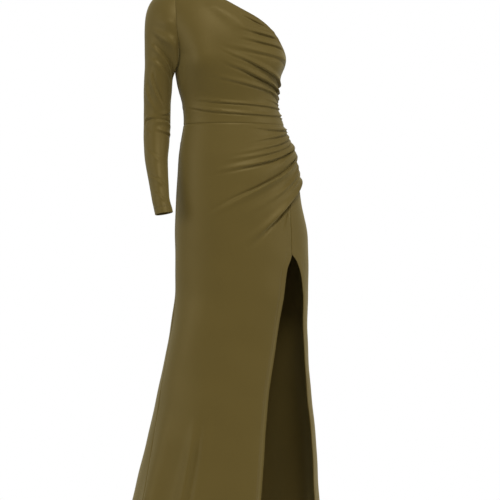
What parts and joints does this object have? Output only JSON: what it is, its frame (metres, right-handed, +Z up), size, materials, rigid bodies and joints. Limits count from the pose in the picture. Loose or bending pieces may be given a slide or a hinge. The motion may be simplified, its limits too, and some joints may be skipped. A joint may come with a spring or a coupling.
{
  "type": "one-shoulder dress",
  "caption": "Floor-length stretch jersey dress with one shoulder, one long sleeve, side gathers and a slit.",
  "frame": {"origin": "under the cloth at the middle of the right shoulder seam, where the wearer holds the dress up", "axes": "+Z up, the front faces -Y, and the wearer's left side is towards +X"},
  "size_m": [0.5719, 0.4511, 1.5616],
  "materials": {
    "jersey": "matt olive stretch jersey"
  },
  "bodies": {
    "root": {"bodice_front": "jersey", "bodice_back": "jersey", "sleeve": "jersey", "skirt_front": "jersey", "skirt_side": "jersey", "skirt_back": "jersey"}
  },
  "joints": []
}
